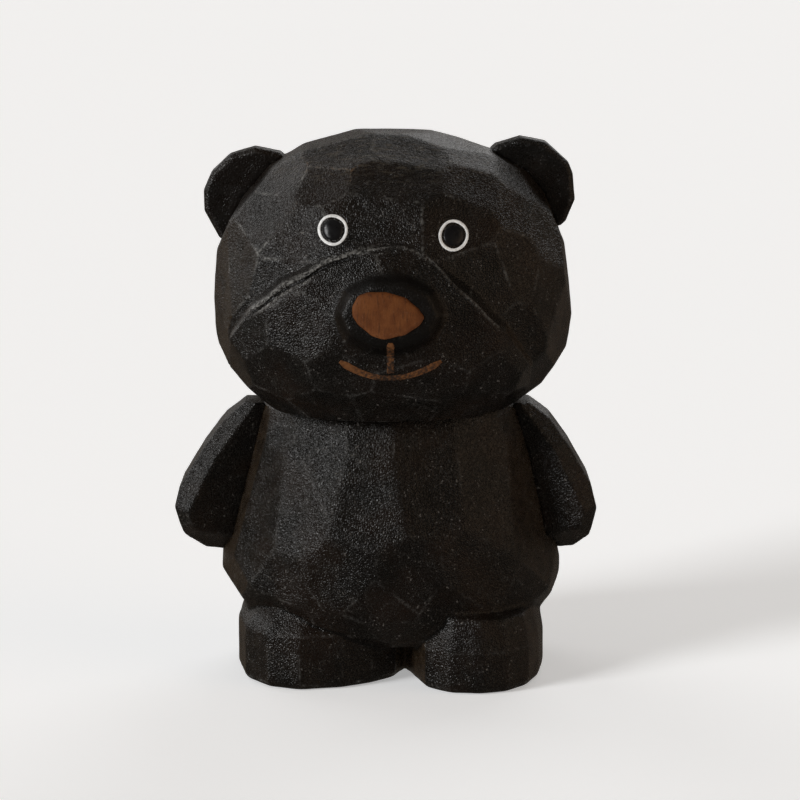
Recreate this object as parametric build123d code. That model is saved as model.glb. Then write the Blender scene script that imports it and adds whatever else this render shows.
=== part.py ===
"""A hand-carved wooden bear figurine, painted black, standing on its own two feet.

Seven carved pieces of wood are glued together on hidden dowels: a torso with its legs, a head, two
ears, two arms and an inlaid nose. The eyes and the mouth are thin strokes of paint on the head.

Millimetres, +Z up. The bear faces -Y, so its own left side is +X. The origin is on the surface that
the bear stands on, under the middle of its bounding box. Every wooden surface is a set of flat knife
cuts, each of them tangent to a rounded form.
"""

import math
import os
import random
from dataclasses import dataclass

from build123d import *

# --- Driving dimensions -----------------------------------------------------------------------
HEIGHT = 90.0  # from the soles to the crown
NECK_Z = 45.0  # the flat glue joint between torso and head
SET_BACK = 3.0  # the nose stands out in front, so the neck is this far behind the origin
SET_LEFT = 0.6  # the right arm stands out more, so the neck is this far to the left of it
WASTE = 200.0  # side of the rough block that each piece is cut from

GLUE_GAP = 0.05  # radial room for glue round a dowel
END_GAP = 0.5  # room for glue past the end of a dowel

NECK_DOWEL = {"radius": 3.5, "length": 18.0}
EAR_DOWEL = {"radius": 1.25, "length": 9.0}
ARM_DOWEL = {"radius": 1.5, "length": 11.0}

EYE_RING_RADIUS = 2.4
EYE_RING_LINE = 0.5
PUPIL_RADIUS = 1.6
PUPIL_RISE = 0.35  # how far a pupil's drop of gloss paint stands off the wood
PAINT = 0.16  # thickness of a painted line
MOUTH_LINE = 1.3  # width of the brush stroke

# --- Knife cuts -------------------------------------------------------------------------------
TURN_JITTER = 0.13  # share of a cut's own width that it may wander round the belt
DEPTH_JITTER = 0.22  # how much deeper or shallower than the form a cut may go
TILT_JITTER = 3.0  # degrees


@dataclass
class Form:
    """A rounded form with its own front, side, top and bottom reach, which knife cuts follow."""

    x: float
    y: float
    z: float
    half_width: float
    half_depth: float
    up: float
    down: float
    power: float = 2.3

    def touch(self, z, turn):
        """The point at height z, turn degrees from the front towards +X, and the outward normal."""
        reach = self.up if z > self.z else self.down
        share = min(0.999, abs(z - self.z) / reach)
        waist = (1 - share**self.power) ** (1 / self.power)
        along_x, along_y = math.sin(math.radians(turn)), -math.cos(math.radians(turn))
        size = (abs(along_x) ** self.power + abs(along_y) ** self.power) ** (-1 / self.power)
        shares = (waist * size * along_x, waist * size * along_y, math.copysign(share, z - self.z))
        reaches = (self.half_width, self.half_depth, reach)
        point = Vector(*(s * r for s, r in zip(shares, reaches))) + Vector(self.x, self.y, self.z)
        slopes = (math.copysign(abs(s) ** (self.power - 1), s) / r for s, r in zip(shares, reaches))
        return point, Vector(*slopes).normalized()


    def front(self, x, z):
        """The point of the form's front at this x and z, and the outward normal."""
        share_x = (x - self.x) / self.half_width
        reach = self.up if z > self.z else self.down
        share_z = (z - self.z) / reach
        share_y = (1 - abs(share_x) ** self.power - abs(share_z) ** self.power) ** (1 / self.power)
        shares = (share_x, -share_y, share_z)
        reaches = (self.half_width, self.half_depth, reach)
        slopes = (math.copysign(abs(s) ** (self.power - 1), s) / r for s, r in zip(shares, reaches))
        return Vector(x, self.y - share_y * self.half_depth, z), Vector(*slopes).normalized()


def knife_cut(block, point, normal, grow=0.0):
    """The block without what lies outside a flat cut, moved out by grow."""
    plane = Plane(origin=point + normal * grow, z_dir=normal)
    return split(block, bisect_by=plane, keep=Keep.BOTTOM)


def rough_block():
    return Box(WASTE, WASTE, WASTE)


def carve(form, belts, seed, grow=0.0, front_arc=0.0, front_above=0.0):
    """A block cut down to a form. Each belt is (height, number of cuts, turn of its first cut).

    The belts' cuts within front_arc degrees of the front are left out above front_above.
    """
    chance = random.Random(seed)
    block = rough_block()
    for z, count, first in belts:
        step = 360 / count
        for k in range(count):
            turn = first + step * (k + TURN_JITTER * chance.uniform(-1, 1))
            point, normal = form.touch(z, turn)
            level = normal.cross(Vector(0, 0, 1)).normalized()
            normal = normal.rotate(Axis((0, 0, 0), level), TILT_JITTER * chance.uniform(-1, 1))
            point -= normal * DEPTH_JITTER * chance.uniform(-1, 1)
            if z > front_above and abs((turn + 180) % 360 - 180) < front_arc:
                continue
            block = knife_cut(block, point, normal, grow)
    return block


def outline_prism(points, plane, thickness):
    """A straight-edged outline drawn on a plane, made into a slab from that plane along its normal."""
    return extrude(plane * make_face(Polyline(*points, close=True)), amount=thickness)


def dowel(centre, direction, radius, length):
    return Plane(origin=centre, z_dir=direction) * Cylinder(radius, length)


def dowel_hole(centre, direction, radius, length):
    return dowel(centre, direction, radius + GLUE_GAP, length + 2 * END_GAP)


# --- Head -------------------------------------------------------------------------------------
SKULL = Form(x=0.6, y=0.0, z=61.8, half_width=29.1, half_depth=23.8, up=28.0, down=20.8)
SKULL_BELTS = (
    (88.4, 8, 12),
    (85.4, 11, 16),
    (81.2, 13, -3),
    (75.0, 12, -4),
    (66.5, 12, -5),
    (58.0, 13, 10),
    (50.5, 13, 0),
    (46.4, 12, 14),
)
SKULL_FRONT_ARC = 62.0  # degrees each side of the front that have cuts of their own, not the belts'
SKULL_FRONT_ABOVE = 70.0
# Where those cuts touch the skull's form, as x, z and how much deeper they go, from right to left.
FOREHEAD_CUTS = ((-24.4, 70.0, 0.0), (-19.6, 77.8, 0.1), (-14.6, 73.6, 0.0), (-3.0, 77.0, 0.0))
FOREHEAD_CUTS += ((11.4, 76.4, 0.0), (20.4, 70.6, 0.0), (20.0, 78.4, 0.0), (25.0, 74.0, 0.0))
CROWN_CUTS = ((-16.6, 82.6, 0.0), (-10.4, 83.6, 0.0), (1.0, 84.2, 0.1), (13.8, 82.6, 0.1))
CROWN_CUTS += ((-7.6, 86.6, 0.1), (3.6, 87.0, 0.1), (13.2, 86.0, 0.0), (19.8, 83.0, 0.0))
JAW_CUT = (48.5, -82.0, 0.4)  # height, turn and extra depth of a cut that trims the right of the jaw
CROWN_LOOKS = Vector(0.01, 0.03, 1)  # the top cut falls a little towards the back
CROWN_SLANT = 0.23  # so its middle is this much under its highest corner
MUZZLE = Form(x=-0.4, y=-4.5, z=60.0, half_width=27.2, half_depth=22.2, up=22.0, down=18.6)
MUZZLE_BELTS = (
    (76.0, 12, 4),
    (69.5, 15, 10),
    (61.0, 14, 0),
    (53.0, 14, 12),
    (47.2, 13, 4),
)
MUZZLE_BACK = -4.0
MUZZLE_TOP = 77.0
# Front view of the brow line where the muzzle starts, from right cheek over to left cheek.
BROW_LINE = ((-26.2, 58.0), (-22.8, 63.6), (-19.3, 66.8), (-15.0, 69.5), (-9.2, 72.3), (-3.2, 73.9))
BROW_LINE += ((2.6, 74.3), (7.4, 71.9), (12.2, 67.8), (17.0, 63.2), (21.4, 57.4), (24.4, 50.0))
BROW_SLOPE = 40.0  # degrees that the ledge under the brow line leans out of the face

NOSE_CENTRE = (0.2, 63.8)  # x and z
NOSE_BOSS = (7.3, 5.0)  # half width and half height of the raised block round the nose
NOSE_BOSS_FRONT = -29.3
NOSE_BOSS_ROOT = -24.0
NOSE_BOSS_FLARE = 0.35
NOSE_LEAN = 8.0  # degrees that the boss's front looks up
NOSE_OUTLINE = ((-6.0, 1.4), (-4.9, 3.2), (-3.3, 3.7), (-0.4, 3.7), (2.6, 2.8), (4.5, 1.1), (5.6, -0.3))
NOSE_OUTLINE += ((4.6, -1.6), (2.3, -3.1), (-1.0, -3.8), (-2.8, -3.2), (-4.9, -1.5), (-5.9, -0.1))
NOSE_SUNK = 1.4
NOSE_PROUD = 0.6

EYES = {"right": (-8.8, 76.1), "left": (10.2, 75.2)}  # x and z
SMILE_CENTRE = (0.3, 64.95)
SMILE_RADIUS = 11.6
SMILE_HALF_ANGLE = 43.0
LIP_TOP = 59.6


def nose_plane():
    """The plane of the boss's front, x to the bear's left and y up, looking out of the face."""
    lean = math.radians(NOSE_LEAN)
    normal = Vector(0, -math.cos(lean), math.sin(lean))
    origin = (NOSE_CENTRE[0], NOSE_BOSS_FRONT, NOSE_CENTRE[1])
    return Plane(origin=origin, x_dir=(1, 0, 0), z_dir=normal)


def nose_boss(grow=0.0):
    """The raised block that carries the nose: a ten-sided taper."""
    front, count = nose_plane(), 10
    boss = rough_block()
    boss = knife_cut(boss, front.origin, front.z_dir, grow)
    boss = knife_cut(boss, Vector(0, NOSE_BOSS_ROOT, 0), Vector(0, 1, 0))
    for k in range(count):
        angle = math.radians(360 / count * (k + 0.5))
        rim = Vector(NOSE_BOSS[0] * math.cos(angle), NOSE_BOSS[1] * math.sin(angle), 0)
        out = Vector(math.cos(angle) / NOSE_BOSS[0], math.sin(angle) / NOSE_BOSS[1], 0).normalized()
        flank = front.x_dir * out.X + front.y_dir * out.Y + front.z_dir * NOSE_BOSS_FLARE
        point = front.origin + front.x_dir * rim.X + front.y_dir * rim.Y
        boss = knife_cut(boss, point, flank.normalized(), grow)
    return boss


def muzzle_form(grow=0.0):
    """The mound of the lower face, cut off along the brow line by a ledge that leans out."""
    muzzle = carve(MUZZLE, MUZZLE_BELTS, seed=11, grow=grow)
    muzzle = knife_cut(muzzle, Vector(0, MUZZLE_BACK, 0), Vector(0, 1, 0))
    muzzle = knife_cut(muzzle, Vector(0, 0, MUZZLE_TOP), Vector(0, 0, 1))
    slope = math.radians(BROW_SLOPE)
    for (x0, z0), (x1, z1) in zip(BROW_LINE, BROW_LINE[1:]):
        middle, brow = SKULL.front((x0 + x1) / 2, (z0 + z1) / 2)
        along = Vector(x1 - x0, 0, z1 - z0)
        away = brow.cross(along).normalized()
        ledge = away * math.cos(slope) + brow * math.sin(slope)
        muzzle = knife_cut(muzzle, middle, ledge, grow)
    return muzzle


def head_form(grow=0.0):
    """Skull, muzzle and nose boss in one piece, all moved out by grow."""
    skull = carve(SKULL, SKULL_BELTS, 5, grow, SKULL_FRONT_ARC, SKULL_FRONT_ABOVE)
    for x, z, deeper in FOREHEAD_CUTS + CROWN_CUTS:
        point, normal = SKULL.front(x, z)
        skull = knife_cut(skull, point - normal * deeper, normal, grow)
    skull = knife_cut(skull, Vector(0, 0, HEIGHT - CROWN_SLANT), CROWN_LOOKS.normalized(), grow)
    head = skull + muzzle_form(grow) + nose_boss(grow)
    z, turn, deeper = JAW_CUT
    point, normal = SKULL.touch(z, turn)
    head = knife_cut(head, point - normal * deeper, normal, grow)
    return knife_cut(head, Vector(0, 0, NECK_Z), Vector(0, 0, -1))


def paint_film(prism, skin, wood):
    """The layer of paint that a prism marks on the wood, out to the skin."""
    return (prism & skin) - wood


def front_disc(x, z, radius):
    """A cylinder along Y through the front half of the head."""
    return Pos(x, -WASTE / 4, z) * Rot(90, 0, 0) * Cylinder(radius, WASTE / 2)


def eye_ring_prism(x, z):
    return front_disc(x, z, EYE_RING_RADIUS) - front_disc(x, z, EYE_RING_RADIUS - EYE_RING_LINE)


def smile_prism():
    """The upturned mouth, a brush stroke along an arc."""
    centre = Vector(SMILE_CENTRE[0], SMILE_CENTRE[1])
    ends = [
        centre + Vector(0, -SMILE_RADIUS).rotate(Axis.Z, side * SMILE_HALF_ANGLE)
        for side in (-1, 1)
    ]
    arc = ThreePointArc(ends[0], centre + Vector(0, -SMILE_RADIUS), ends[1])
    return extrude(Plane.XZ * trace(arc, line_width=MOUTH_LINE), amount=WASTE / 2)


def lip_prism():
    """The short upright stroke from the nose to the mouth."""
    bottom = SMILE_CENTRE[1] - SMILE_RADIUS + MOUTH_LINE / 2
    face = Pos(SMILE_CENTRE[0], (LIP_TOP + bottom) / 2) * Rectangle(MOUTH_LINE, LIP_TOP - bottom)
    return extrude(Plane.XZ * face, amount=WASTE / 2)


# --- Ears -------------------------------------------------------------------------------------
EAR_RADIUS = 8.6
EAR_FRONT, EAR_BACK = 0.0, 7.0
EAR_SIDES = 14
EARS = {"right": (-21.8, 78.2), "left": (21.9, 79.9)}  # x and z of the centres


def ear_form(x, z):
    """A thick disc with a knife-cut rim, bevelled a little at the front and more at the back."""
    ear = rough_block()
    ear = knife_cut(ear, Vector(0, EAR_FRONT, 0), Vector(0, -1, 0))
    ear = knife_cut(ear, Vector(0, EAR_BACK, 0), Vector(0, 1, 0))
    chance = random.Random(round(x))
    for k in range(EAR_SIDES):
        angle = math.radians(360 / EAR_SIDES * (k + 0.2 * chance.uniform(-1, 1)))
        out = Vector(math.cos(angle), 0, math.sin(angle))
        rim = Vector(x, 0, z) + out * (EAR_RADIUS + 0.15 * chance.uniform(-1, 1))
        ear = knife_cut(ear, rim, out)
        for face_y, inset, way in ((EAR_FRONT, 0.7, -1), (EAR_BACK, 2.8, 1)):
            bevel = (out + Vector(0, way, 0)).normalized()
            ear = knife_cut(ear, rim - out * inset + Vector(0, face_y, 0), bevel)
    return ear


def ear_dowel_axis(x, z):
    """Where an ear's dowel has its middle, and its direction towards the middle of the head."""
    middle = (EAR_FRONT + EAR_BACK) / 2
    inward = (Vector(0, middle, SKULL.z) - Vector(x, middle, z)).normalized()
    return Vector(x, middle, z) + inward * 5.0, inward


# --- Torso and legs ---------------------------------------------------------------------------
TRUNK_BELTS = (
    # height, x of its middle, half width, half depth, degrees looking up, number of cuts, first turn
    (41.5, 0.0, 21.8, 17.5, 18.0, 15, -6),
    (34.0, 0.0, 23.9, 19.7, 15.0, 15, -8),
    (21.5, 0.1, 28.3, 21.5, -2.0, 15, 6),
    (16.4, -0.1, 28.7, 21.3, -12.0, 13, -2),
    (12.3, 1.0, 26.0, 20.8, -36.0, 12, 10),
    (8.6, 1.6, 21.5, 18.0, -60.0, 9, 20),
)
TRUNK_BOTTOM = 6.0
LEG_TOP = 12.5
# Where the upright side of each foot turns in under the belly, and the degrees that it then looks up.
INSTEPS = {"right": (9.2, 40.0), "left": (7.0, 12.0)}
# Plan outlines of the two feet, from the middle line round the front to the back.
FOOT_PLANS = {
    "right": (
        (2.6, -7.4), (1.2, -11.4), (-2.8, -15.0), (-7.6, -17.6), (-14.6, -18.9),
        (-20.0, -17.0), (-23.9, -12.0), (-25.4, -4.0), (-25.2, 4.0), (-22.8, 11.0),
        (-17.6, 15.6), (-9.0, 17.6), (0.0, 16.5), (2.6, 13.0),
    ),
    "left": (
        (2.6, -7.4), (4.0, -12.0), (5.8, -17.4), (9.6, -20.6), (15.0, -21.2),
        (19.6, -19.6), (23.0, -16.0), (24.9, -11.0), (25.9, -4.0), (25.5, 4.0),
        (23.1, 11.0), (18.2, 15.8), (10.0, 18.0), (4.0, 16.8), (2.6, 13.0),
    ),
}
SOLE_BEVEL = 0.7


def trunk():
    """Chest and belly: belts of cuts round upright ellipses."""
    chance = random.Random(3)
    block = rough_block()
    for z, x, half_width, half_depth, look_up, count, first in TRUNK_BELTS:
        step = 360 / count
        for k in range(count):
            turn = math.radians(first + step * (k + TURN_JITTER * chance.uniform(-1, 1)))
            point = Vector(x + half_width * math.sin(turn), -half_depth * math.cos(turn), z)
            level = Vector(math.sin(turn) / half_width, -math.cos(turn) / half_depth, 0).normalized()
            tilt = math.radians(look_up + TILT_JITTER * chance.uniform(-1, 1))
            normal = level * math.cos(tilt) + Vector(0, 0, math.sin(tilt))
            point -= normal * DEPTH_JITTER * chance.uniform(-1, 1)
            block = knife_cut(block, point, normal)
    return knife_cut(block, Vector(0, 0, TRUNK_BOTTOM), Vector(0, 0, -1))


def leg(side):
    """A short leg with a flat sole, bevelled all round its foot and cut in over its instep."""
    plan = FOOT_PLANS[side]
    block = outline_prism(plan, Plane.XY, LEG_TOP)
    block = chamfer(block.edges().group_by(Axis.Z)[0], SOLE_BEVEL)
    instep_z, look_up = INSTEPS[side][0], math.radians(INSTEPS[side][1])
    turning = 1 if side == "left" else -1
    for (x0, y0), (x1, y1) in zip(plan, plan[1:]):
        out = Vector(y1 - y0, x0 - x1).normalized() * turning
        edge = Vector((x0 + x1) / 2, (y0 + y1) / 2, instep_z)
        block = knife_cut(block, edge, out * math.cos(look_up) + Vector(0, 0, math.sin(look_up)))
    return block


def torso_form():
    body = trunk() + leg("left") + leg("right")
    return knife_cut(body, Vector(0, 0, NECK_Z), Vector(0, 0, 1))


# --- Arms -------------------------------------------------------------------------------------
# Front views of the arms, from the shoulder down the outside and back up inside the torso; x is the
# distance from the middle.
ARM_OUTLINES = {
    "right": (
        (21.0, 45.0), (24.0, 45.0), (27.5, 42.0), (31.1, 37.2), (34.9, 31.0), (35.7, 27.8),
        (34.3, 23.3), (30.8, 20.2), (27.2, 19.6), (18.0, 26.0), (16.0, 42.0),
    ),
    "left": (
        (21.0, 45.0), (23.4, 45.0), (26.8, 42.2), (30.2, 37.4), (33.5, 31.6), (34.5, 27.6),
        (33.4, 23.1), (30.8, 20.4), (27.2, 20.0), (18.0, 26.0), (16.0, 42.0),
    ),
}
ARM_FRONT, ARM_BACK = -8.5, 9.0  # y of the outer edge's two faces
ARM_FRONT_TURN = 20.0  # degrees that the front face looks in towards the belly
ARM_BEVEL = 2.0
ARM_RIM = slice(1, 9)  # the outlines' points that are on the outside
# Cuts that round an arm's side view: y and z on the cut, front or back, degrees that it looks up.
ARM_ROUNDING = (
    (-7.0, 24.3, -1, -50.0), (9.0, 33.0, 1, -18.0), (6.7, 26.0, 1, -50.0),
    (9.0, 38.0, 1, 35.0), (-8.2, 38.0, -1, 14.0),
)
ARM_DOWEL_CENTRE = (24.6, 1.0, 31.0)


def arm_form(outline):
    """An arm on the +X side: a paddle whose front face slopes back towards the belly."""
    arm = Pos(0, ARM_FRONT, 0) * extrude(
        Plane.XZ * make_face(Polyline(*outline, close=True)), amount=ARM_FRONT - ARM_BACK
    )
    lean = math.radians(ARM_FRONT_TURN)
    outermost = max(x for x, _ in outline)
    arm = knife_cut(
        arm, Vector(outermost, ARM_FRONT, 0), Vector(-math.sin(lean), -math.cos(lean), 0)
    )
    rim = outline[ARM_RIM]
    for (x0, z0), (x1, z1) in zip(rim, rim[1:]):
        out = Vector(z0 - z1, 0, x1 - x0).normalized()
        edge = Vector((x0 + x1) / 2, 0, (z0 + z1) / 2) - out * ARM_BEVEL
        front_y = ARM_FRONT + (outermost - edge.X) * math.tan(lean)
        for face_y, way in ((front_y, -1), (ARM_BACK, 1)):
            bevel = (out + Vector(0, way, 0)).normalized()
            arm = knife_cut(arm, edge + Vector(0, face_y, 0), bevel)
    for y, z, way, degrees in ARM_ROUNDING:
        up = math.radians(degrees)
        arm = knife_cut(arm, Vector(0, y, z), Vector(0, way * math.cos(up), math.sin(up)))
    return arm


# --- Assembly ---------------------------------------------------------------------------------
def head_group():
    """The head, with its ears, nose, eyes and mouth, and the dowels of the ears."""
    made = {}
    head = head_form()
    holes = [dowel_hole((0, 0, NECK_Z), (0, 0, 1), **NECK_DOWEL)]
    for side, centre in EARS.items():
        middle, inward = ear_dowel_axis(*centre)
        hole = dowel_hole(middle, inward, **EAR_DOWEL)
        made[f"ear_{side}"] = ear_form(*centre) - head - hole
        made[f"ear_dowel_{side}"] = dowel(middle, inward, **EAR_DOWEL)
        holes.append(hole)

    front = nose_plane()
    nose = outline_prism(NOSE_OUTLINE, front, NOSE_PROUD) + outline_prism(NOSE_OUTLINE, front, -NOSE_SUNK)
    made["nose"] = nose

    skin = head_form(PAINT)
    drop = head_form(PUPIL_RISE)
    for side, (x, z) in EYES.items():
        made[f"eye_ring_{side}"] = paint_film(eye_ring_prism(x, z), skin, head)
        made[f"pupil_{side}"] = paint_film(front_disc(x, z, PUPIL_RADIUS), drop, head)
    made["smile_stroke"] = paint_film(smile_prism(), skin, head)
    made["lip_stroke"] = paint_film(lip_prism(), skin, head) - smile_prism()

    for cutter in [*holes, nose]:
        head -= cutter
    made["head"] = head
    return made


def body_group():
    """The torso with its legs, both arms and their dowels, and the dowel of the neck."""
    made = {}
    torso = torso_form()
    holes = [dowel_hole((0, 0, NECK_Z), (0, 0, 1), **NECK_DOWEL)]
    for side, outline in ARM_OUTLINES.items():
        whole = arm_form(outline)
        x, y, z = ARM_DOWEL_CENTRE
        if side == "right":
            whole = mirror(whole, Plane.YZ)
            x = -x
        middle = (x, y, z)
        hole = dowel_hole(middle, (1, 0, 0), **ARM_DOWEL)
        made[f"arm_{side}"] = whole - torso - hole
        made[f"arm_dowel_{side}"] = dowel(middle, (1, 0, 0), **ARM_DOWEL)
        holes.append(hole)
    for hole in holes:
        torso -= hole
    made["torso"] = torso
    made["neck_dowel"] = dowel((0, 0, NECK_Z), (0, 0, 1), **NECK_DOWEL)
    return made


def main():
    os.makedirs("parts", exist_ok=True)
    for name, shape in {**body_group(), **head_group()}.items():
        export_step(Pos(SET_LEFT, SET_BACK, 0) * shape, f"parts/{name}.step")


main()
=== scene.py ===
"""Blender scene of the carved wooden bear: softened knife cuts, worn black paint with painted highlight and
shade, painted face.
"""

import math

import bmesh
import bpy
import numpy as np
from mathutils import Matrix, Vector, noise
from mathutils.bvhtree import BVHTree
from mathutils.kdtree import KDTree

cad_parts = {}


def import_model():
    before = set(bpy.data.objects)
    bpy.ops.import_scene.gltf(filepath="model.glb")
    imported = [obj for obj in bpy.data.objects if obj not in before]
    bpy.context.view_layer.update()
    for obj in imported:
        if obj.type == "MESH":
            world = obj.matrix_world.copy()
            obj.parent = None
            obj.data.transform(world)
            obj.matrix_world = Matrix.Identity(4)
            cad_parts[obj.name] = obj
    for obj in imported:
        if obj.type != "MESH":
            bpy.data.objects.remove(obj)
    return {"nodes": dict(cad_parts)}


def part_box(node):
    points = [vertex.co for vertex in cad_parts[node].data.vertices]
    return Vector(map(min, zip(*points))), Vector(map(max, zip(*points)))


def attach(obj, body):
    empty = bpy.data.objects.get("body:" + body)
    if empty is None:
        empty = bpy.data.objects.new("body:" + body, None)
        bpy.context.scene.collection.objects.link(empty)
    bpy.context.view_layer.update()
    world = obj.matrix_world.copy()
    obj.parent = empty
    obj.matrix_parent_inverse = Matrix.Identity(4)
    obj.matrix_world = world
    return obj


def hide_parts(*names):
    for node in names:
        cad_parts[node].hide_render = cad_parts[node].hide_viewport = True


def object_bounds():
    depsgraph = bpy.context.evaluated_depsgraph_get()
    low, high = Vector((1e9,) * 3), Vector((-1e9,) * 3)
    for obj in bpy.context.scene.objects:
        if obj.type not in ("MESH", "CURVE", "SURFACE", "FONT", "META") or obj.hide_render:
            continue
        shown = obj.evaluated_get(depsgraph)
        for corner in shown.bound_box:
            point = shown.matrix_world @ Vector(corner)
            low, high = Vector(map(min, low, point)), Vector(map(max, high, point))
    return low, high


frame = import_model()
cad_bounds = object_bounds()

MM = 0.001
CONTACT = 0.05  # millimetres within which two pieces of wood count as touching
JOINT_OVERLAP = 0.2  # how far a touching face is grown, so that no light shows through
BROW_GROOVE = 0.5  # depth of the knife's groove under the brow
NOSE_BLOCK_RIM = 1.9  # how far the raised block reaches past the nose
NOSE_BLOCK_DEPTH = 6  # how far behind the nose's middle the block still counts
bpy.context.scene.view_settings.view_transform = "Standard"


# --- Meshes -------------------------------------------------------------------------------------
def show(name, mesh, replaced, material):
    """A new piece that stands for CAD nodes and rides on the one body."""
    piece = bpy.data.objects.new(name, mesh)
    bpy.context.scene.collection.objects.link(piece)
    mesh.materials.clear()
    mesh.materials.append(material)
    mesh.shade_smooth()
    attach(piece, "root")
    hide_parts(*replaced)
    return piece


def coordinates(mesh):
    values = np.empty(len(mesh.vertices) * 3)
    mesh.vertices.foreach_get("co", values)
    return values.reshape(-1, 3)


def set_coordinates(mesh, values):
    mesh.vertices.foreach_set("co", values.ravel())
    mesh.update()


def set_attribute(mesh, name, values):
    layer = mesh.attributes.new(name, "FLOAT", "POINT")
    layer.data.foreach_set("value", values.astype(np.float32))


def welded(node, inlay=None):
    """The CAD node's faces with their shared corners joined, and an inlay's pocket closed flush."""
    form = bmesh.new()
    form.from_mesh(frame["nodes"][node].data)
    bmesh.ops.remove_doubles(form, verts=form.verts, dist=1e-6)
    if inlay:
        other = BVHTree.FromBMesh(welded(inlay))
        pocket = [
            face for face in form.faces
            if other.find_nearest(face.calc_center_median(), 0.01 * MM)[0] is not None
        ]
        bmesh.ops.delete(form, geom=pocket, context="FACES")
        rim = [edge for edge in form.edges if edge.is_boundary]
        bmesh.ops.holes_fill(form, edges=rim)
        bmesh.ops.recalc_face_normals(form, faces=form.faces)
    bmesh.ops.triangulate(form, faces=form.faces)
    form.normal_update()
    return form


def sharp_edges(form, least=4.0):
    """The convex ridges and the concave creases of a welded form."""
    ridges, creases = [], []
    for edge in form.edges:
        if len(edge.link_faces) == 2:
            angle = math.degrees(edge.calc_face_angle_signed(0.0))
            if abs(angle) > least:
                (ridges if angle > 0 else creases).append(edge)
    return ridges, creases


def along(edges):
    """Points at close steps along edges, each with its edge's direction."""
    points = []
    for edge in edges:
        start, end = (v.co for v in edge.verts)
        steps = max(2, int((end - start).length / (0.12 * MM)))
        points += [(start.lerp(end, k / steps), (end - start).normalized()) for k in range(steps + 1)]
    return points


def tree_of(points):
    tree = KDTree(len(points))
    for k, point in enumerate(points):
        tree.insert(point, k)
    tree.balance()
    return tree


def distances(tree, points):
    """How far each point is from the tree's nearest, in millimetres."""
    return np.array([tree.find(p)[2] for p in points]) / MM


def remeshed(form, voxel):
    """An even mesh of small faces over a form."""
    mesh = bpy.data.meshes.new("rough")
    form.to_mesh(mesh)
    rough = bpy.data.objects.new("rough", mesh)
    bpy.context.scene.collection.objects.link(rough)
    remesh = rough.modifiers.new("remesh", "REMESH")
    remesh.mode = "VOXEL"
    remesh.voxel_size = voxel
    even = bpy.data.meshes.new_from_object(rough.evaluated_get(bpy.context.evaluated_depsgraph_get()))
    bpy.data.objects.remove(rough)
    bpy.data.meshes.remove(mesh)
    return even


def refined(mesh, near, reach):
    """The mesh with its faces within reach millimetres of the tree's points cut in four."""
    form = bmesh.new()
    form.from_mesh(mesh)
    edges = [
        edge for edge in form.edges
        if near.find((edge.verts[0].co + edge.verts[1].co) / 2)[2] < reach * MM
    ]
    bmesh.ops.subdivide_edges(form, edges=edges, cuts=1, use_grid_fill=True)
    bmesh.ops.triangulate(form, faces=[face for face in form.faces if len(face.verts) > 4])
    form.to_mesh(mesh)
    form.free()


def relaxed(points, edges, rounds, share=0.5):
    """The points after moving each some rounds towards the mean of its neighbours."""
    count = np.bincount(edges.ravel(), minlength=len(points))[:, None]
    for _ in range(rounds):
        total = np.zeros_like(points)
        for axis in range(3):
            total[:, axis] = np.bincount(edges[:, 0], points[edges[:, 1], axis], len(points))
            total[:, axis] += np.bincount(edges[:, 1], points[edges[:, 0], axis], len(points))
        points = points + share * (total / np.maximum(count, 1) - points)
    return points


def waves(points, size, seed):
    """Smooth noise from -1 to 1 at each point, with features of about this size in millimetres."""
    shift = Vector((seed * 7.3, seed * 3.1, seed * 5.7))
    return np.array([noise.noise(Vector(p) / (size * MM) + shift) for p in points])


def smooth(values, low, high):
    share = np.clip((values - low) / (high - low), 0, 1)
    return share * share * (3 - 2 * share)


def reach_into(face, edge):
    """The direction in a triangle's plane that leads straight away from one of its edges."""
    start, end = (v.co for v in edge.verts)
    apex = next(v.co for v in face.verts if v not in edge.verts)
    way = (end - start).normalized()
    return (apex - start - way * ((apex - start) @ way)).normalized()


def brow_ledge(form, creases):
    """The ledge faces under the brow's crease, and points along the edge where they meet the muzzle."""
    low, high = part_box("nose")
    middle, half = (low + high) / 2, (high - low) / 2
    planes = []
    for crease in creases:
        at = (crease.verts[0].co + crease.verts[1].co) / 2
        away = math.hypot((at.x - middle.x) / half.x, (at.z - middle.z) / half.z)
        if at.y < 0 and at.z > low.z and away > 1.75:
            lower = max(crease.link_faces, key=lambda face: reach_into(face, crease) @ (middle - at))
            if crease.calc_face_angle_signed(0.0) < -0.4:
                planes.append((lower.verts[0].co, lower.normal))
    ledge = {
        face.index for face in form.faces
        if any(face.normal @ n > 0.9999 and abs((face.verts[0].co - p) @ n) < 1e-5 for p, n in planes)
    }
    lip = [
        edge for edge in form.edges
        if len(edge.link_faces) == 2
        and sum(face.index in ledge for face in edge.link_faces) == 1
        and edge.calc_face_angle_signed(0.0) > 0.03
    ]
    return ledge, [point for point, _ in along(lip)]


def evened(points, reach):
    """The points of a cornered line moved onto a smooth one, by averages over reach millimetres."""
    tree = tree_of(points)
    line = []
    for point in points:
        near = [found for found, _, _ in tree.find_range(point, reach * MM)]
        line.append(sum(near, Vector()) / len(near))
    return line


def touching(node, points):
    """Which points of the CAD node lie against another piece of wood."""
    others = [BVHTree.FromBMesh(welded(other)) for other in WOODEN if other != node]
    return np.array([any(tree.find_nearest(Vector(p), CONTACT * MM)[0] for tree in others) for p in points])


def edge_ends(mesh):
    ends = np.empty(len(mesh.edges) * 2, np.int64)
    mesh.edges.foreach_get("vertices", ends)
    return ends.reshape(-1, 2)


def laid_on(surface, points):
    """The points moved to the nearest places of a surface, with its normals and face numbers there."""
    normals = np.empty_like(points)
    faces = np.empty(len(points), np.int64)
    for k, point in enumerate(points):
        points[k], normals[k], faces[k], _ = surface.find_nearest(Vector(point))
    return points, normals, faces


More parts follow.
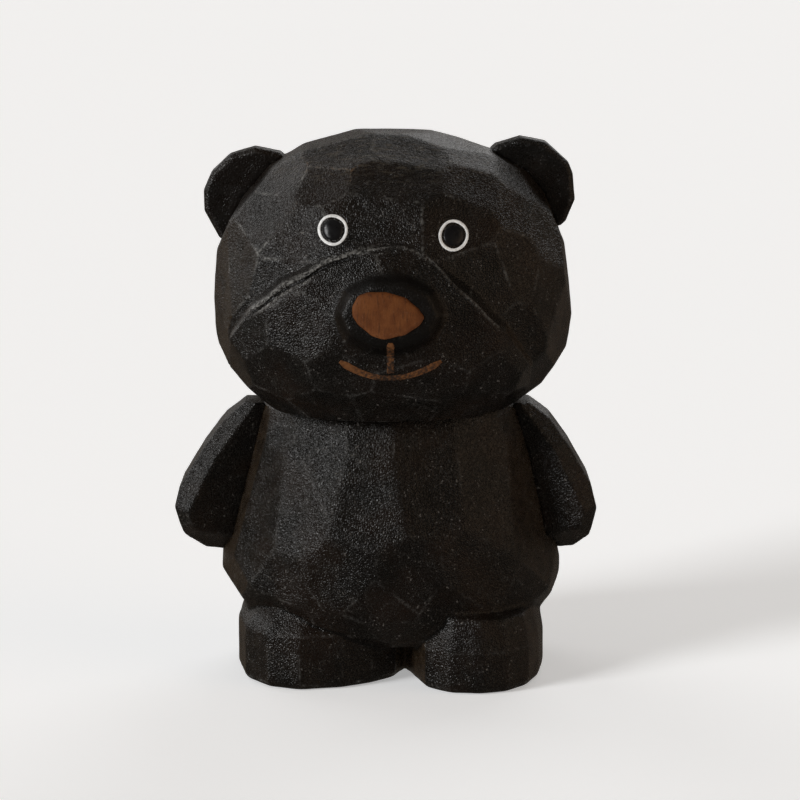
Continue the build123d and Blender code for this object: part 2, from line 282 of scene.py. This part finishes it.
def facet_shade(normals):
    """A number from 0 to 1 for each point, the same all over a facet and another on the next."""
    mixed = np.sin(np.round(normals * 25) @ (12.9898, 78.233, 37.719)) * 43758.5453
    return mixed - np.floor(mixed)


def around_nose(points):
    """How far each point is from the nose's middle, with 1 near the edge of the block it is let into."""
    low, high = (np.array(corner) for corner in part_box("nose"))
    middle, half = (low + high) / 2, (high - low) / 2
    off = (points - middle) / (half + NOSE_BLOCK_RIM * MM)
    return np.hypot(off[:, 0], off[:, 2]) + 10 * (points[:, 1] > middle[1] + NOSE_BLOCK_DEPTH * MM)


def brow_cut(points, faces, ledge, lip_tree):
    """Each point's distance below the brow's lip, the knife's share, its groove, and how pale the ledge and
    lip are made, partly worn paint and partly painted highlight.
    """
    below = distances(lip_tree, points) * np.where(np.isin(faces, list(ledge)), -1, 1)
    across = points[:, 0] / MM
    cut = smooth(-across, -1, 9) * smooth(points[:, 2] / MM, 61, 64.5)
    uneven = 1 + 0.3 * waves(points, 3, 3)
    groove = np.clip(1.3 - np.abs(below - 0.36) / 0.42, 0, 1)
    incised = -BROW_GROOVE * groove * cut * uneven
    # pale ledge and lip under the brow: partly worn paint, partly painted highlight, strongest on the side
    # the key light falls on
    rubbed_and_lit = smooth(below, -1.6, -0.9) * (below < 0.1) * cut * uneven
    second = np.exp(-(((below - 1.05) / 0.28) ** 2)) * smooth(-across, 9, 14) * smooth(across, -23, -19)
    rubbed_and_lit = np.maximum(rubbed_and_lit, second * cut * uneven)
    rubbed_and_lit = np.maximum(rubbed_and_lit, 0.35 * np.exp(-((below / 0.22) ** 2)) * (1 - cut))
    return below, cut, incised, rubbed_and_lit


def rubbed(points):
    """How far handling has rounded the body's cuts: most on the belly, less on the feet."""
    height = points[:, 2] / cad_bounds[1].z
    belly = 0.7 * smooth(-np.abs(height - 0.28), -0.13, -0.07)
    return np.maximum(belly, 0.5 * smooth(-height, -0.15, -0.10) * smooth(height, 0.02, 0.05))


def worn(points):
    """How pale the ridges are made: worn paint, and painted highlight where the light falls, most on the
    head's front and right side; the spots round the soles are wear.
    """
    height = points[:, 2] / cad_bounds[1].z
    wear = (0.25 + 0.75 * smooth(height, 0.64, 0.80)) * (0.45 + 0.55 * smooth(-points[:, 0] / MM, -9, 2))
    wear *= 0.6 + 1.1 * smooth(-points[:, 1] / MM, 0, 14)
    return wear + smooth(-height, -0.045, -0.02) * np.clip(3 * waves(points, 1.6, 5), 0, 1)


def carved(node, voxel=0.45, scoop=0.2, soften=4, inlay=None, groove=0.1, sleek=0.0):
    """The CAD node as a knife leaves it: hollow-cut facets, soft ridges and incised creases."""
    form = welded(node, inlay)
    ridges, creases = sharp_edges(form)
    surface = BVHTree.FromBMesh(form)
    ridge_tree = tree_of([point for point, _ in along(ridges)])
    crease_tree = tree_of([point for point, _ in along(creases)] or [Vector((0, 0, -1))])
    mesh = remeshed(form, voxel * MM)
    refined(mesh, ridge_tree, 0.5)
    refined(mesh, crease_tree, 0.9)
    if node == "head":
        ledge, lip = brow_ledge(form, creases)
        lip_tree = tree_of(evened(lip, 2.6))
        refined(mesh, lip_tree, 0.8)

    points, normals, faces = laid_on(surface, coordinates(mesh))
    edges = edge_ends(mesh)
    to_ridge, to_crease = distances(ridge_tree, points), distances(crease_tree, points)
    facet = facet_shade(normals)
    inside = np.minimum(to_ridge, to_crease)
    hollow = -scoop * (1 - np.exp(-((inside / 3.0) ** 2))) * (0.7 + 0.6 * facet)
    hollow += 0.07 * waves(points, 6, 1) + 0.035 * waves(points, 1.7, 2)
    hollow = np.where(touching(node, points), JOINT_OVERLAP, hollow)
    incised = -groove * np.exp(-((to_crease / 0.35) ** 2))
    brow_wear_and_highlight, boss = np.zeros(len(points)), sleek * smooth(-normals[:, 1], 0.6, 0.9)
    if node == "head":
        around = around_nose(points)
        boss = smooth(-around, -1.25, -0.95)
        below, cut, incised, brow_wear_and_highlight = brow_cut(points, faces, ledge, lip_tree)

    points += normals * (hollow * MM)[:, None]
    softer = relaxed(points, edges, 60)
    points = relaxed(points, edges, soften)
    if node == "head":
        blurred = smooth(-around, -1.6, -1.1) * smooth(around, 0.6, 0.75)
        blurred = np.maximum(blurred, 0.7 * smooth(-np.abs(below), -2.4, -1.2) * cut)
        points += (softer - points) * blurred[:, None]
    if node == "torso":
        points += (softer - points) * rubbed(points)[:, None]
    points += normals * (incised * MM)[:, None]
    set_coordinates(mesh, points)

    # painted shade: the paint is made near black in the concave creases and in the brow's groove
    crease_shade = np.exp(-((to_crease / 0.6) ** 2)) * (groove > 0)
    # pale ridges: partly worn paint, partly painted highlight where the light falls on the top, front and
    # right side
    set_attribute(mesh, "ridge", np.exp(-((to_ridge / 0.2) ** 2)) * worn(points) * (1 - boss))
    set_attribute(mesh, "boss", boss)
    # painted highlight: pale streaks on top of the head, where the light falls
    set_attribute(mesh, "crown_highlight", smooth(points[:, 2] / cad_bounds[1].z, 0.89, 0.98) * (sleek == 0))
    # warm brown share on faces that look sideways: partly thin paint, partly painted rim light at the
    # silhouettes
    set_attribute(mesh, "thin", smooth(np.abs(normals[:, 0]), 0.72, 0.95))
    set_attribute(mesh, "crease", np.maximum(crease_shade, -incised / BROW_GROOVE))
    set_attribute(mesh, "facet", facet)
    set_attribute(mesh, "brow_wear_and_highlight", brow_wear_and_highlight)
    form.free()
    mesh.name = node
    return mesh


# --- Materials ----------------------------------------------------------------------------------
class Nodes:
    """A small helper for building one material's node tree."""

    def __init__(self, name):
        self.material = bpy.data.materials.new(name)
        self.material.use_nodes = True
        self.tree = self.material.node_tree
        self.shader = self.tree.nodes["Principled BSDF"]
        self.place = self.add("ShaderNodeTexCoord").outputs["Object"]

    def add(self, kind, inputs=None, **settings):
        node = self.tree.nodes.new(kind)
        for key, value in settings.items():
            setattr(node, key, value)
        for key, value in (inputs or {}).items():
            self.feed(node.inputs[key], value)
        return node

    def feed(self, socket, value):
        if isinstance(value, bpy.types.NodeSocket):
            self.tree.links.new(value, socket)
        else:
            socket.default_value = value

    def noise(self, size, detail=3.0, stretch=(1, 1, 1), roughness=0.55):
        """Noise from 0 to 1 whose features are about size millimetres."""
        scaled = self.add("ShaderNodeMapping", {"Vector": self.place, "Scale": stretch})
        made = self.add(
            "ShaderNodeTexNoise",
            {"Vector": scaled.outputs[0], "Scale": 1 / (size * MM), "Detail": detail, "Roughness": roughness},
        )
        return made.outputs["Fac"]

    def attribute(self, name):
        return self.add("ShaderNodeAttribute", attribute_name=name).outputs["Fac"]

    def ramp(self, value, low, high, to_low=0.0, to_high=1.0):
        made = self.add(
            "ShaderNodeMapRange",
            {"Value": value, "From Min": low, "From Max": high, "To Min": to_low, "To Max": to_high},
            interpolation_type="SMOOTHSTEP",
        )
        return made.outputs["Result"]

    def math(self, operation, a, b=0.0):
        return self.add("ShaderNodeMath", {0: a, 1: b}, operation=operation).outputs[0]

    def mix(self, share, a, b):
        made = self.add("ShaderNodeMix", {"Factor": share}, data_type="RGBA")
        for key, value in ((6, a), (7, b)):
            self.feed(made.inputs[key], value if isinstance(value, bpy.types.NodeSocket) else (*value, 1))
        return made.outputs[2]

    def bump(self, height, depth, below=None):
        """A normal from a height of 0 to 1 that stands for depth millimetres."""
        made = self.add("ShaderNodeBump", {"Height": height, "Strength": 1.0, "Distance": depth * MM})
        if below is not None:
            self.feed(made.inputs["Normal"], below)
        return made.outputs["Normal"]


BLACK = (0.0028, 0.0023, 0.0018)
WARM = (0.0085, 0.0045, 0.0025)
# pale specks: partly powder in the pores, partly painted glints of fibres catching the light
DUST_AND_GLINT_SPECK = (0.022, 0.020, 0.017)
WORN_AND_LIT_RIDGE_GREY = (0.15, 0.147, 0.138)
BARE = (0.12, 0.07, 0.035)
DULL = (0.008, 0.007, 0.006)
# warm brown for the sideways faces: partly thin paint, partly painted rim light
THIN_PAINT_AND_RIM_LIGHT = (0.026, 0.016, 0.008)
FLECK_AND_GLINT = (0.11, 0.10, 0.09)
CROWN_HIGHLIGHT_STREAK = (0.075, 0.063, 0.046)
RUBBED_AND_LIT_GREY = (0.21, 0.205, 0.192)
DEEP = (0.002, 0.0018, 0.0016)


def black_paint():
    """Thin satin black paint over knife-cut wood: pale specks, partly powder in its pores and partly painted
    glints; ridges partly worn and partly painted highlight; painted highlight on top of the head and under
    the brow; warm brown sides, partly thin paint and partly painted rim light; painted shade in the creases.
    """
    n = Nodes("black_paint")
    broad = n.noise(9.0, 2.0)
    patch = n.noise(2.6, 3.0)
    fine = n.noise(0.55, 4.0, roughness=0.7)
    speck = n.noise(0.20, 1.0)
    fleck = n.noise(0.42, 1.0)
    grain = n.noise(0.5, 3.0, stretch=(1, 1, 0.07))
    ridge, crease, facet, brow_wear_and_highlight, boss, crown_highlight, thin = (
        n.attribute(name) for name in ("ridge", "crease", "facet", "brow_wear_and_highlight", "boss", "crown_highlight", "thin")
    )
    speck_share = n.math("SUBTRACT", 1.0, n.math("MULTIPLY", boss, 0.4))
    grit = n.math("MULTIPLY", n.noise(0.22, 0.0), speck_share)

    colour = n.mix(n.ramp(broad, 0.35, 0.7), BLACK, WARM)
    colour = n.mix(n.math("MULTIPLY", facet, 0.15), colour, DULL)
    # warm brown on the sideways faces: partly thin paint, partly painted rim light
    colour = n.mix(n.math("MULTIPLY", thin, n.ramp(patch, 0.3, 0.6, 0.2, 0.9)), colour, THIN_PAINT_AND_RIM_LIGHT)
    # pale specks: partly powder in the pores, partly painted glints of fibres catching the light
    dust_and_glints = n.math("MULTIPLY", n.ramp(speck, 0.46, 0.68), n.ramp(patch, 0.3, 0.7, 0.25, 0.8))
    colour = n.mix(n.math("MULTIPLY", dust_and_glints, speck_share), colour, DUST_AND_GLINT_SPECK)
    # bright flecks: partly pale fibres, partly painted glints
    flecks = n.math("MULTIPLY", n.ramp(fleck, 0.66, 0.74), n.ramp(patch, 0.4, 0.65, 0.1, 0.9))
    colour = n.mix(n.math("MULTIPLY", flecks, speck_share), colour, FLECK_AND_GLINT)
    # painted highlight: pale streaks on top of the head
    streak_noise = n.noise(0.5, 4.0, stretch=(0.22, 1, 1), roughness=0.7)
    streak = n.math("MULTIPLY", n.ramp(streak_noise, 0.5, 0.66), 0.8)
    colour = n.mix(n.math("MULTIPLY", crown_highlight, streak), colour, CROWN_HIGHLIGHT_STREAK)
    chipped = n.math("MULTIPLY", n.ramp(fine, 0.38, 0.62), n.ramp(n.noise(4.0, 2.0), 0.44, 0.62, 0.03, 0.75))
    # pale ridges: worn paint and painted highlight
    colour = n.mix(n.math("MULTIPLY", ridge, chipped), colour, WORN_AND_LIT_RIDGE_GREY)
    bare = n.math("MULTIPLY", n.ramp(ridge, 0.4, 1.0), n.ramp(broad, 0.58, 0.7))
    bare = n.math("MULTIPLY", bare, n.ramp(fine, 0.5, 0.6, 0.0, 0.6))
    colour = n.mix(bare, colour, BARE)
    # worn paint and painted highlight: the ledge and lip under the brow are made pale
    colour = n.mix(n.math("MULTIPLY", brow_wear_and_highlight, n.ramp(fine, 0.42, 0.58, 0.0, 0.9)), colour, RUBBED_AND_LIT_GREY)
    # near black over the block round the nose
    colour = n.mix(n.math("MULTIPLY", boss, 0.7), colour, DEEP)
    # painted shade: near black in the creases and the brow's groove
    colour = n.mix(n.ramp(crease, 0.35, 0.95, 0.0, 0.85), colour, DEEP)
    n.feed(n.shader.inputs["Base Color"], colour)

    rough = n.math("ADD", n.ramp(patch, 0.3, 0.7, 0.17, 0.25), n.ramp(speck, 0.4, 0.65, 0.0, 0.16))
    n.feed(n.shader.inputs["Roughness"], n.math("ADD", rough, n.math("MULTIPLY", boss, 0.12)))
    n.shader.inputs["Specular IOR Level"].default_value = 0.27
    normal = n.bump(grain, 0.03)
    normal = n.bump(patch, 0.10, normal)
    normal = n.bump(fine, 0.035, normal)
    n.feed(n.shader.inputs["Normal"], n.bump(grit, 0.145, normal))
    return n.material


def brown_paint():
    """Matt brown paint, thin enough for the upright grain of the wood to show."""
    n = Nodes("brown_paint")
    grain = n.noise(0.42, 3.0, stretch=(1, 1, 0.12), roughness=0.65)
    blot = n.noise(1.7, 3.0)
    colour = n.mix(n.ramp(blot, 0.3, 0.7), (0.100, 0.0295, 0.0070), (0.143, 0.047, 0.012))
    colour = n.mix(n.ramp(grain, 0.5, 0.72, 0.0, 0.65), colour, (0.045, 0.016, 0.006))
    colour = n.mix(n.ramp(n.noise(0.3, 2.0), 0.62, 0.75, 0.0, 0.35), colour, (0.21, 0.10, 0.05))
    n.feed(n.shader.inputs["Base Color"], colour)
    n.shader.inputs["Roughness"].default_value = 0.65
    n.shader.inputs["Specular IOR Level"].default_value = 0.15
    n.feed(n.shader.inputs["Normal"], n.bump(n.noise(0.4, 3.0), 0.04, n.bump(grain, 0.08)))
    return n.material


def mouth_paint():
    """A single brush stroke of ochre brown that is full at the ends and nearly dry in the middle."""
    n = Nodes("mouth_paint")
    load = n.attribute("load")
    streak = n.noise(0.5, 3.0, roughness=0.65)
    body = n.mix(n.ramp(streak, 0.35, 0.7), (0.085, 0.030, 0.0075), (0.14, 0.055, 0.016))
    cover = n.math("ADD", load, n.ramp(streak, 0.3, 0.7, -0.25, 0.25))
    colour = n.mix(n.ramp(cover, 0.15, 0.75), (0.02, 0.013, 0.009), body)
    n.feed(n.shader.inputs["Base Color"], colour)
    n.shader.inputs["Roughness"].default_value = 0.6
    n.shader.inputs["Specular IOR Level"].default_value = 0.15
    n.feed(n.shader.inputs["Normal"], n.bump(streak, 0.05))
    return n.material


def white_paint():
    """A white paint-pen line, a little uneven."""
    n = Nodes("white_paint")
    blot = n.noise(0.5, 3.0)
    colour = n.mix(n.ramp(blot, 0.3, 0.62), (0.66, 0.66, 0.65), (0.9, 0.9, 0.89))
    n.feed(n.shader.inputs["Base Color"], colour)
    n.shader.inputs["Roughness"].default_value = 0.6
    n.feed(n.shader.inputs["Normal"], n.bump(blot, 0.03))
    return n.material


def gloss_black():
    """A drop of gloss black paint."""
    n = Nodes("gloss_black")
    ripple = n.noise(0.9, 2.0)
    n.feed(n.shader.inputs["Base Color"], n.mix(ripple, (0.003, 0.003, 0.0035), (0.008, 0.008, 0.009)))
    n.feed(n.shader.inputs["Roughness"], n.ramp(ripple, 0.3, 0.7, 0.26, 0.36))
    n.shader.inputs["Specular IOR Level"].default_value = 0.3
    n.feed(n.shader.inputs["Normal"], n.bump(ripple, 0.05))
    return n.material


def dowel_wood():
    """Bare turned birch."""
    n = Nodes("dowel_wood")
    grain = n.noise(0.5, 4.0, stretch=(1, 1, 0.1))
    colour = n.mix(n.ramp(grain, 0.35, 0.7), (0.62, 0.42, 0.24), (0.46, 0.29, 0.15))
    n.feed(n.shader.inputs["Base Color"], colour)
    n.shader.inputs["Roughness"].default_value = 0.7
    n.feed(n.shader.inputs["Normal"], n.bump(grain, 0.04))
    return n.material


# --- Paint and nose -----------------------------------------------------------------------------
class Skin:
    """The front of a carved mesh, for laying paint on."""

    def __init__(self, mesh):
        form = bmesh.new()
        form.from_mesh(mesh)
        self.tree = BVHTree.FromBMesh(form)
        form.free()

    def at(self, x, z):
        """The point of the front at this x and z."""
        return self.tree.ray_cast(Vector((x, -0.06, z)), Vector((0, 1, 0)))[0]


def painted(name, skin, rows, closed, height):
    """A closed film over rows of (x, z) points; height(u, v) is its rise in millimetres."""
    form = bmesh.new()
    layers = []
    for sunk in (False, True):
        layer = []
        for i, row in enumerate(rows):
            u = i / (len(rows) - 1)
            line = []
            for j, (x, z) in enumerate(row):
                rise = -0.25 if sunk else height(u, j / (len(row) - 1))
                line.append(form.verts.new(skin.at(x, z) + Vector((0, -rise * MM, 0))))
            layer.append(line)
        layers.append(layer)
    top, bottom = layers
    count = len(rows) if closed else len(rows) - 1
    for i in range(count):
        a, b = i, (i + 1) % len(rows)
        for j in range(len(rows[0]) - 1):
            form.faces.new((top[a][j], top[b][j], top[b][j + 1], top[a][j + 1]))
            form.faces.new((bottom[a][j + 1], bottom[b][j + 1], bottom[b][j], bottom[a][j]))
        for j in (0, -1):
            wall = (top[a][j], bottom[a][j], bottom[b][j], top[b][j])
            form.faces.new(wall if j == 0 else wall[::-1])
    if not closed:
        for i in (0, -1):
            for j in range(len(rows[0]) - 1):
                wall = (top[i][j], top[i][j + 1], bottom[i][j + 1], bottom[i][j])
                form.faces.new(wall if i == 0 else wall[::-1])
    bmesh.ops.remove_doubles(form, verts=form.verts, dist=1e-7)
    bmesh.ops.dissolve_degenerate(form, edges=form.edges, dist=1e-7)
    bmesh.ops.recalc_face_normals(form, faces=form.faces)
    mesh = bpy.data.meshes.new(name)
    form.to_mesh(mesh)
    form.free()
    return mesh


def stroke(name, skin, line, width, rise, across=9):
    """A brush stroke along a line of (x, z) points; width(u) is in millimetres."""
    rows = []
    for i, (x, z) in enumerate(line):
        u = i / (len(line) - 1)
        ahead, behind = line[min(i + 1, len(line) - 1)], line[max(i - 1, 0)]
        way = Vector((ahead[0] - behind[0], ahead[1] - behind[1])).normalized()
        rough = 1 + 0.10 * noise.noise(Vector((u * 14, 3.0, 0.5)))
        half = width(u) * rough * MM / 2
        rows.append([(x - way.y * half * s, z + way.x * half * s) for s in np.linspace(-1, 1, across)])
    return painted(name, skin, rows, False, lambda u, v: rise * (1 - abs(2 * v - 1) ** 3) - 0.03)


def ring(name, skin, node, line_width):
    """A painted ring of the CAD ring's size."""
    low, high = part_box(node)
    x0, z0 = (low.x + high.x) / 2, (low.z + high.z) / 2
    radius = (high.x - low.x) / 2
    rows = []
    for i in range(72):
        turn = 2 * math.pi * i / 72
        spot = Vector((math.cos(turn) * 1.3, math.sin(turn) * 1.3, x0 * 300))
        outer = radius - 0.05 * MM * noise.noise(spot)
        width = line_width * (1 + 0.22 * noise.noise(spot * 0.8 + Vector((5, 2, 1)))) * MM
        rows.append([
            (x0 + (outer - width * s) * math.cos(turn), z0 + (outer - width * s) * math.sin(turn))
            for s in np.linspace(0, 1, 6)
        ])
    return painted(name, skin, rows, True, lambda u, v: 0.09 * (1 - abs(2 * v - 1) ** 3) - 0.02)


def drop(name, skin, node):
    """A low round drop of the CAD pupil's size."""
    low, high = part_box(node)
    x0, z0 = (low.x + high.x) / 2, (low.z + high.z) / 2
    radius = (high.x - low.x) / 2
    rows = []
    for i in range(40):
        turn = 2 * math.pi * i / 40
        rows.append([
            (x0 + radius * s * math.cos(turn), z0 + radius * s * math.sin(turn))
            for s in np.linspace(0, 1, 10)
        ])
    return painted(name, skin, rows, True, lambda u, v: 0.34 * math.sqrt(max(0.0, 1 - v * v)) - 0.02)


# --- The bear -----------------------------------------------------------------------------------
PAINT = {
    "black_paint": black_paint(),
    "brown_paint": brown_paint(),
    "mouth_paint": mouth_paint(),
    "white_paint": white_paint(),
    "gloss_black": gloss_black(),
    "dowel_wood": dowel_wood(),
}
WOODEN = {
    "torso": {"scoop": 0.24, "soften": 36, "groove": 0.06},
    "head": {"inlay": "nose", "groove": 0.0, "soften": 28},
    "ear_left": {"sleek": 0.6},
    "ear_right": {"sleek": 0.6},
    "arm_left": {},
    "arm_right": {},
}
for node, settings in WOODEN.items():
    mesh = carved(node, **settings)
    show(f"carved_{node}", mesh, [node], PAINT["black_paint"])
    if node == "head":
        skin = Skin(mesh)

for side in ("left", "right"):
    line = ring(f"ring_{side}", skin, f"eye_ring_{side}", 0.5)
    show(f"painted_ring_{side}", line, [f"eye_ring_{side}"], PAINT["white_paint"])
    dot = drop(f"drop_{side}", skin, f"pupil_{side}")
    show(f"painted_pupil_{side}", dot, [f"pupil_{side}"], PAINT["gloss_black"])

low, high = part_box("smile_stroke")
middle, half = (low.x + high.x) / 2, (high.x - low.x) / 2 - 0.4 * MM
bottom = low.z + 0.65 * MM
rise = high.z - low.z - 1.5 * MM
arc = [(middle + half * t, bottom + rise * t * t) for t in np.linspace(-1, 1, 61)]


def smile_width(u):
    """The smile's width in millimetres: full near its round ends and thinner in the middle."""
    return 1.35 * min(1, 0.45 + 9 * u, 0.45 + 7 * (1 - u)) * (1 - 0.25 * math.sin(math.pi * u))


smile = stroke("smile", skin, arc, smile_width, 0.12)
x_share = (coordinates(smile)[:, 0] - middle) / half
# the load also falls off towards the right end, so that end is darker
load = 0.25 + 0.9 * np.abs(x_share + 0.1) ** 1.2 - 0.5 * smooth(x_share, 0.2, 0.9)
set_attribute(smile, "load", np.clip(load, 0, 1))
show("painted_smile", smile, ["smile_stroke"], PAINT["mouth_paint"])

low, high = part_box("lip_stroke")
middle = (low.x + high.x) / 2
upright = [(middle, z) for z in np.linspace(high.z, low.z + 0.2 * MM, 26)]
lip = stroke("lip", skin, upright, lambda u: 1.3 * min(1, 0.55 + 6 * u), 0.10)
z_share = (coordinates(lip)[:, 2] - low.z) / (high.z - low.z)
set_attribute(lip, "load", np.clip(0.4 + 2.4 * (z_share - 0.75), 0.36, 1))
show("painted_lip", lip, ["lip_stroke"], PAINT["mouth_paint"])

nose = carved("nose", voxel=0.18, scoop=-0.05, groove=0.0, soften=300)
show("carved_nose", nose, ["nose"], PAINT["brown_paint"])

for name, part in frame["nodes"].items():
    if "dowel" in name:
        part.data.materials.clear()
        part.data.materials.append(PAINT["dowel_wood"])


# --- Floor, light and camera --------------------------------------------------------------------
FLOOR_REACH = 3  # metres from the middle to each side


def floor():
    mesh = bpy.data.meshes.new("floor")
    corners = [(-FLOOR_REACH, -FLOOR_REACH), (FLOOR_REACH, -FLOOR_REACH)]
    corners += [(FLOOR_REACH, FLOOR_REACH), (-FLOOR_REACH, FLOOR_REACH)]
    mesh.from_pydata([(x, y, 0) for x, y in corners], [], [(0, 1, 2, 3)])
    piece = bpy.data.objects.new("floor", mesh)
    bpy.context.scene.collection.objects.link(piece)
    n = Nodes("pale_floor")
    n.shader.inputs["Base Color"].default_value = (0.94, 0.955, 0.97, 1)
    n.shader.inputs["Roughness"].default_value = 0.9
    n.shader.inputs["Specular IOR Level"].default_value = 0.1
    n.shader.inputs["Emission Color"].default_value = (1, 1, 1, 1)
    n.shader.inputs["Emission Strength"].default_value = 0.36
    mesh.materials.append(n.material)
    piece.visible_glossy = False


def soft_sun(name, towards, strength, spread, colour=(1, 1, 1)):
    """Even light from a wide patch of the studio; spread is its angle in degrees."""
    data = bpy.data.lights.new(name, "SUN")
    data.energy = strength
    data.angle = math.radians(spread)
    data.color = colour
    light = bpy.data.objects.new(name, data)
    light.rotation_euler = Vector(towards).to_track_quat("Z", "Y").to_euler()
    bpy.context.scene.collection.objects.link(light)


def world(brightness, seen):
    """A dim warm studio that shows as a pale wall behind the floor."""
    made = bpy.data.worlds.new("studio")
    bpy.context.scene.world = made
    made.use_nodes = True
    tree = made.node_tree
    warm = tree.nodes["Background"]
    warm.inputs["Color"].default_value = (1, 0.86, 0.72, 1)
    warm.inputs["Strength"].default_value = brightness
    wall = tree.nodes.new("ShaderNodeBackground")
    wall.inputs["Color"].default_value = (1, 1, 1, 1)
    wall.inputs["Strength"].default_value = seen
    either = tree.nodes.new("ShaderNodeMixShader")
    tree.links.new(tree.nodes.new("ShaderNodeLightPath").outputs["Is Camera Ray"], either.inputs[0])
    tree.links.new(warm.outputs[0], either.inputs[1])
    tree.links.new(wall.outputs[0], either.inputs[2])
    tree.links.new(either.outputs[0], tree.nodes["World Output"].inputs["Surface"])


CAMERA_DISTANCE = 0.45
CAMERA_LOOKS_DOWN = math.radians(11)
PICTURE_WIDTH = 135.36 * MM  # what the picture takes in at the bear's distance
AIM_ACROSS, AIM_UP = 2.377 * MM, 44.5 * MM  # from the soles' middle to the picture's


def camera():
    data = bpy.data.cameras.new("camera")
    data.sensor_width = 36
    data.lens = data.sensor_width * CAMERA_DISTANCE / PICTURE_WIDTH
    data.clip_start, data.clip_end = 0.01, 20
    made = bpy.data.objects.new("camera", data)
    ahead = Vector((0, math.cos(CAMERA_LOOKS_DOWN), -math.sin(CAMERA_LOOKS_DOWN)))
    up = Vector((0, math.sin(CAMERA_LOOKS_DOWN), math.cos(CAMERA_LOOKS_DOWN)))
    made.location = Vector((AIM_ACROSS, 0.4 * MM, 0)) - ahead * CAMERA_DISTANCE + up * AIM_UP
    made.rotation_euler = (math.pi / 2 - CAMERA_LOOKS_DOWN, 0, 0)
    bpy.context.scene.collection.objects.link(made)
    bpy.context.scene.camera = made


floor()
soft_sun("key", towards=(-0.78, -0.48, 0.36), strength=2.0, spread=20)
soft_sun("high", towards=(-0.45, 0.05, 0.87), strength=0.07, spread=40)
soft_sun("back_left", towards=(0.32, 0.84, 0.50), strength=0.6, spread=42)
soft_sun("back_right", towards=(-0.60, 0.68, 0.44), strength=0.55, spread=45)
soft_sun("right", towards=(0.88, -0.30, 0.25), strength=0.45, spread=50, colour=(1, 0.72, 0.48))
world(brightness=0.09, seen=0.96)
camera()
